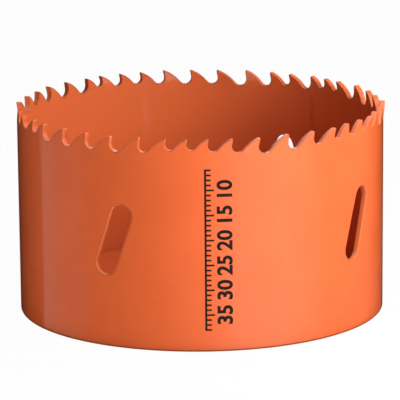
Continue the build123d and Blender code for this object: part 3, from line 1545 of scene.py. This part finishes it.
@dataclass(frozen=True)
class Flag:
    """A dark card round the saw that only takes some of its wall's gloss away.

    Its stops are pairs of a bearing on the wall, from the front towards +X in degrees, and the share of the
    gloss that it takes there. Each column of the card starts at the wall and leans out from its foot, so the
    card also hides the floor there. With a swing of 2 a column follows the way that light from the front
    leaves the wall at that bearing, and with a swing of 1 it stands square to the wall.
    """

    name: str
    stops: tuple[Point, ...]
    swing: float = 2.0
    wall_radius: float = 37.6 * MM
    radius: float = 50.0 * MM
    height: float = 43.0 * MM
    clear: float = 0.7 * MM
    rise: float = 8.0 * MM
    tone: float = 0.02
    steps: int = 240

    def build(self) -> Object:
        """Stand the card up.

        Returns:
            The card.
        """
        bearings, covers = np.array(self.stops).T
        degrees = np.linspace(bearings[0], bearings[-1], self.steps + 1)
        turn = np.radians(degrees)
        start = self.wall_radius * np.stack([np.sin(turn), -np.cos(turn)], axis=1)
        course = np.stack([np.sin(self.swing * turn), -np.cos(self.swing * turn)], axis=1)
        slant = (self.swing - 1) * turn
        reach = np.sqrt(self.radius**2 - (self.wall_radius * np.sin(slant)) ** 2)
        reach -= self.wall_radius * np.cos(slant)
        near = start + course * self.clear
        far = start + course * reach[:, None]
        rings = ((near, 0.0), (far, self.rise), (far, self.height))
        places = [(x, y, z) for ring, z in rings for x, y in ring]
        row = self.steps + 1
        firsts = [start_of_row + i for start_of_row in (0, row) for i in range(self.steps)]
        faces = [(i, i + 1, i + 1 + row, i + row) for i in firsts]
        material, builder, shader = plain_material(self.name)
        shown = builder.value("ShaderNodeAttribute", output="Fac", attribute_name="cover")
        builder.fill(shader, {"Base Color": (self.tone,) * 3, "Roughness": 1.0, "Alpha": shown})
        unseen_by = ("camera", "diffuse", "shadow", "transmission")
        card = stage_item(self.name, places, faces, material, unseen_by)
        cover = card.data.attributes.new("cover", "FLOAT", "POINT")
        cover.data.foreach_set("value", np.tile(np.interp(degrees, bearings, covers), 3))
        return card


@dataclass(frozen=True)
class FootCard:
    """Dark ring on the floor that keeps the floor's light off the rounded edge of the saw's foot."""

    inner: float = 37.2 * MM
    outer: float = 38.9 * MM
    level: float = -0.01 * MM
    tone: float = 0.02
    steps: int = 240

    def build(self) -> Object:
        """Lay the card.

        Returns:
            The card.
        """
        rings = [circle((0.0, 0.0), radius, self.steps) for radius in (self.inner, self.outer)]
        places = [(x, y, self.level) for ring in rings for x, y in ring]
        ahead = [(i + 1) % self.steps for i in range(self.steps)]
        faces = [(i, self.steps + i, self.steps + j, j) for i, j in enumerate(ahead)]
        material, builder, shader = plain_material("foot_card")
        builder.fill(shader, {"Base Color": (self.tone,) * 3, "Specular IOR Level": 0.0})
        return stage_item("foot_card", places, faces, material, ("camera", "shadow"))


@dataclass(frozen=True)
class Studio:
    """Pale floor, white surroundings and soft lamps."""

    floor_reach: float = 3.0
    floor_tone: float = 0.86
    floor_drop: float = 0.02 * MM
    floor_white: float = 0.97
    table_glow: float = 0.30
    ambient: float = 0.06
    lamps: tuple[Softbox, ...] = (
        Softbox("key", 57.0, 24.0, 0.25, (0.10, 0.10), 0.62),
        Softbox("near", 30.0, 16.0, 0.15, (0.05, 0.06), 0.29),
        Softbox("over", 48.0, 32.0, 0.15, (0.05, 0.06), 0.20),
        Softbox("strip", -40.0, 0.0, 0.25, (0.12, 0.036), 0.28),
        Softbox("high", 98.0, 60.0, 0.16, (0.05, 0.05), 0.50),
        Softbox("back", 174.0, 22.0, 0.9, (0.55, 0.28), 0.20, colour=(1.0, 0.62, 0.42), mirrored=True),
    )
    flags: tuple[Flag, ...] = (
        Flag("left_flag", ((-90.0, 1.0), (-59.3, 1.0), (-57.6, 0.62), (-50.0, 0.72), (-42.0, 0.76))),
        Flag("middle_flag", ((-42.0, 0.76), (-32.0, 1.0), (-15.0, 1.0), (0.0, 0.75), (12.0, 0.0))),
        Flag("right_flag", ((27.0, 0.0), (42.0, 0.84), (60.0, 0.88), (74.0, 1.0), (90.0, 1.0))),
        Flag("side_flag", ((90.0, 1.0), (158.0, 1.0)), swing=1.0, height=0.080),
        Flag(
            "rear_flag", ((158.0, 1.0), (178.0, 0.92), (215.0, 0.92), (270.0, 1.0)), swing=1.0, height=0.075
        ),
    )

    def floor(self) -> Object:
        """Lay the floor, which shows white to the camera, keeps the shadow and is clear from below.

        Returns:
            The floor.
        """
        signs = ((-1, -1), (1, -1), (1, 1), (-1, 1))
        corners = [(x * self.floor_reach, y * self.floor_reach, -self.floor_drop) for x, y in signs]
        material = bpy.data.materials.new("floor")
        builder = empty_tree(material)
        matt = builder.value("ShaderNodeBsdfDiffuse", {"Color": (self.floor_tone,) * 3})
        glow = builder.value("ShaderNodeEmission", {"Color": WHITE, "Strength": 1.0})
        share = builder.ramp(direct_sight(builder), 0.0, 1.0, self.table_glow, self.floor_white)
        above = builder.value("ShaderNodeMixShader", {0: share, 1: matt, 2: glow})
        below = builder.value("ShaderNodeNewGeometry", output="Backfacing")
        clear = builder.value("ShaderNodeBsdfTransparent")
        shown = builder.value("ShaderNodeMixShader", {0: below, 1: above, 2: clear})
        builder.add("ShaderNodeOutputMaterial", {"Surface": shown})
        return stage_item("floor", corners, [(0, 1, 2, 3)], material)

    def surroundings(self) -> None:
        """Light the world: white where it is seen or mirrored, dimmer as a lamp."""
        world = bpy.data.worlds.new("studio")
        bpy.context.scene.world = world
        builder = empty_tree(world)
        strength = builder.ramp(direct_sight(builder), 0.0, 1.0, self.ambient, 1.0)
        glow = builder.value("ShaderNodeBackground", {"Color": WHITE, "Strength": strength})
        builder.add("ShaderNodeOutputWorld", {"Surface": glow})

    def build(self) -> None:
        """Set up the floor, the surroundings, the lamps, the flags and the colour settings."""
        self.floor()
        self.surroundings()
        for item in (*self.lamps, *self.flags, FootCard()):
            item.build()
        bpy.context.scene.view_settings.view_transform = "Standard"


def direct_sight(builder: TreeBuilder) -> Value:
    """1 where a surface is seen by the camera, in a mirror or through glass, and 0 where it lights others.

    Args:
        builder: The tree's builder.

    Returns:
        The share.
    """
    path = builder.add("ShaderNodeLightPath")
    camera, glossy, through = (
        Value(builder, path.outputs[f"Is {ray} Ray"]) for ray in ("Camera", "Glossy", "Transmission")
    )
    return camera.at_least(glossy).at_least(through)


def main() -> None:
    """Build the studio and the saw, piece by piece."""
    logging.basicConfig(level=logging.INFO, format="%(name)s: %(message)s")
    View().build()
    Studio().build()
    effects = Effects()
    enamel = Enamel().material(effects)
    roll = roll_group()
    low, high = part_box(BAND_NODE)
    band = ToothedBand(roll, cut_radius=high.x, height=high.z - low.z)
    band.build(enamel)
    low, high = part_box(PLATE_NODE)
    plate = BackPlate(radius=high.x, thickness=high.z - low.z)
    plate.build(Enamel(name="plate_enamel", turned=True).material(effects))
    WeldBead(seat_radius=(plate.radius + band.radius - band.wall) / 2, groove=plate.weld_groove).build(enamel)
    DepthScale(roll, wall_radius=band.radius, tip_height=band.height).build(PrintInk().material(effects))


if __name__ == "__main__":
    main()
